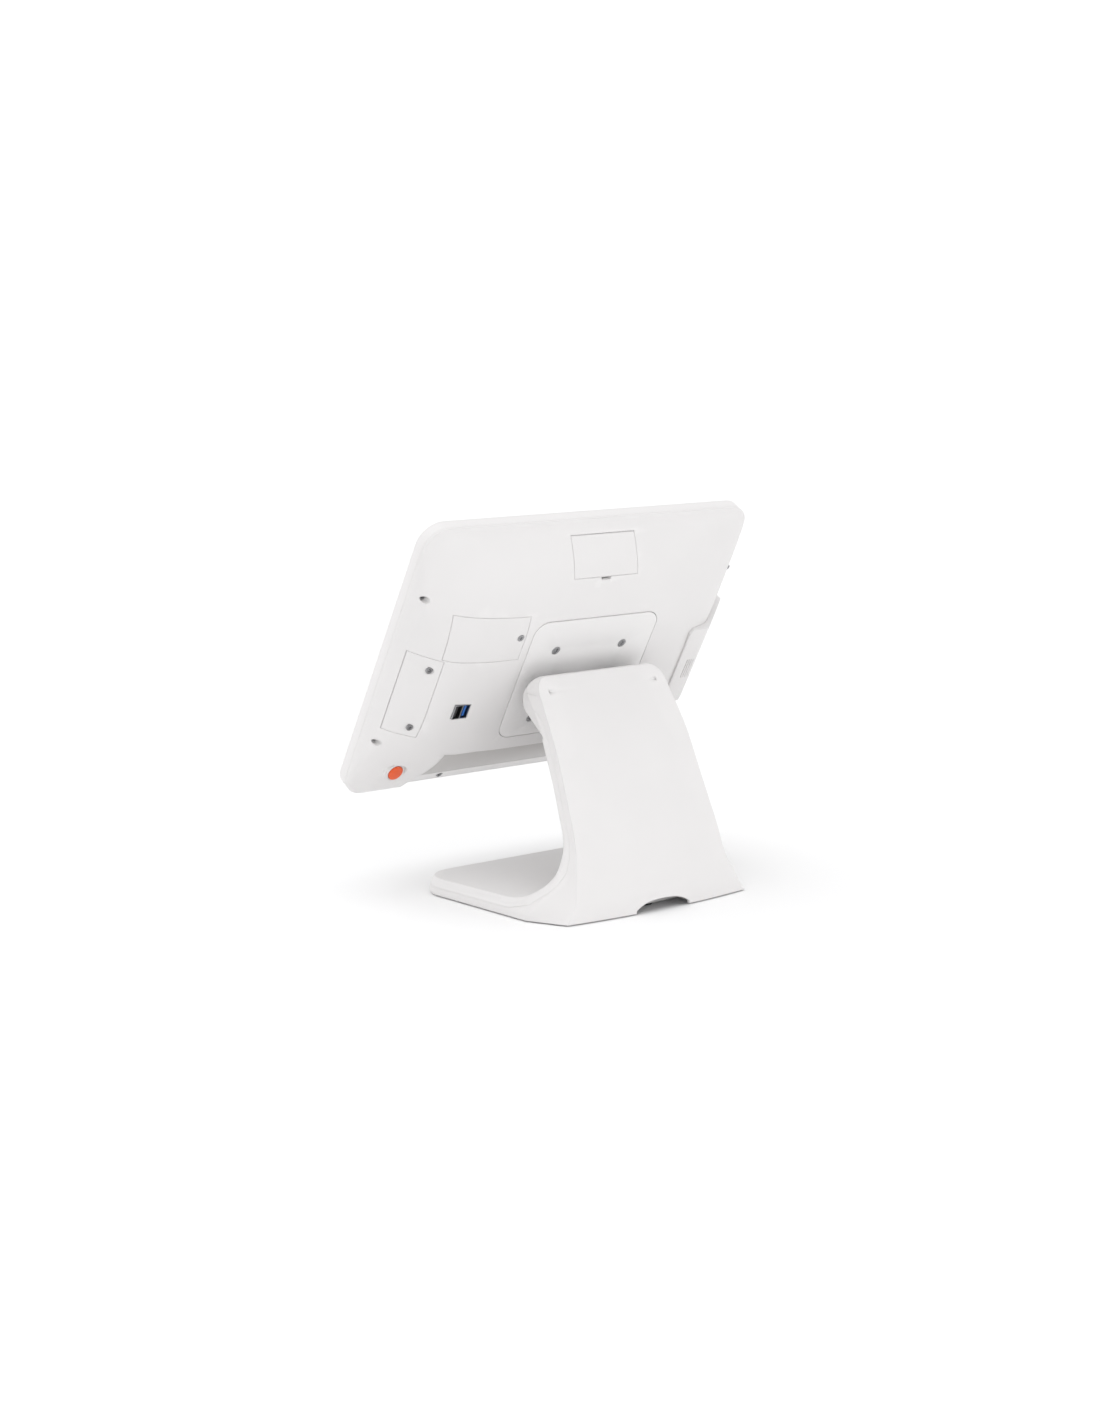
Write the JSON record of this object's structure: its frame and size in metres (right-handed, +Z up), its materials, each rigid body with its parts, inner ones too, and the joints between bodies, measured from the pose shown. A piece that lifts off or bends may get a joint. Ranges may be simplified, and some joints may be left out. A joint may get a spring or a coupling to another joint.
{
  "type": "pos touchscreen terminal",
  "caption": "Countertop point-of-sale touchscreen terminal: a domed white display head that tilts on a folded one-leg stand, with side card reader, USB pair and power button.",
  "frame": {"origin": "centre of the base footprint on the table, under the middle foot", "axes": "+Z up; the screen faces -Y; +X is the operator's right when they look at the screen"},
  "size_m": [0.3721, 0.2431, 0.3408],
  "materials": {
    "white_plastic": "fine spark texture, satin",
    "white_metal": "satin powder coat",
    "steel": "zinc plated sheet",
    "screw_steel": "dark zinc",
    "alloy": "bead blasted",
    "screen_glass": "polished",
    "panel_black": "black display face",
    "board_green": "solder mask",
    "brass_spacer": "turned",
    "black_plastic": "moulded",
    "blue_plastic": "moulded",
    "orange_plastic": "glossy moulded",
    "clear_plastic": "light pipe",
    "rubber": "matt"
  },
  "bodies": {
    "stand": {"neck_front": "white_plastic", "neck_rear": "white_plastic", "hinge_covers": "white_plastic", "spine": "steel", "hinge_support": "steel", "support_bolts": "screw_steel", "hinge_shaft": "steel", "friction_discs": "black_plastic", "spring_washers": "steel", "hinge_nuts": "screw_steel", "ballast": "steel", "foot_bolts": "screw_steel", "bottom_cover": "white_plastic", "base_screws": "screw_steel", "rubber_feet": "rubber", "cable_clip": "black_plastic"},
    "head": {"rear_cover": "white_plastic", "memory_hatch": "white_plastic", "port_hatch": "white_plastic", "link_cover": "white_plastic", "hatch_screws": "screw_steel", "front_bezel": "white_plastic", "touch_glass": "screen_glass", "display_panel": "panel_black", "panel_chassis": "steel", "panel_screws": "screw_steel", "main_board": "board_green", "board_spacers": "brass_spacer", "board_screws": "screw_steel", "heat_sink": "alloy", "storage_drive": "alloy", "drive_tray": "steel", "speakers": "black_plastic", "dc_inlet": "black_plastic", "network_jack": "black_plastic", "serial_port": "black_plastic", "video_port": "black_plastic", "drawer_jack": "black_plastic", "link_bracket": "steel", "usb_shell": "steel", "usb_tongue_dark": "black_plastic", "usb_tongue_blue": "blue_plastic", "usb_board": "board_green", "button_ring": "white_plastic", "power_switch": "black_plastic", "status_light": "clear_plastic", "accessory_port": "black_plastic", "case_screws": "screw_steel", "mount_plate": "white_metal", "mount_screws": "screw_steel", "mount_pillars": "steel", "reader_housing": "white_plastic", "reader_head": "steel", "hinge_arms": "steel", "arm_screws": "screw_steel"},
    "button": {"power_button": "orange_plastic"},
    "hatch": {"top_hatch": "white_plastic"}
  },
  "joints": [
    {"name": "head_tilt", "type": "hinge", "parent": "stand", "child": "head", "pos_m": [0, -0.0045, 0.178], "axis": [-1, 0, 0], "range_deg": [-24, 40]},
    {"name": "power_button_press", "type": "slide", "parent": "head", "child": "button", "axis": [0, -0.8695, 0.4939], "range_m": [0, 0.0012], "stiffness_N_per_m": 600, "springref_m": -0.001},
    {"name": "top_hatch_open", "type": "hinge", "parent": "head", "child": "hatch", "pos_m": [0, 0.00691, 0.32016], "axis": [1, 0, 0], "range_deg": [0, 60]}
  ]
}
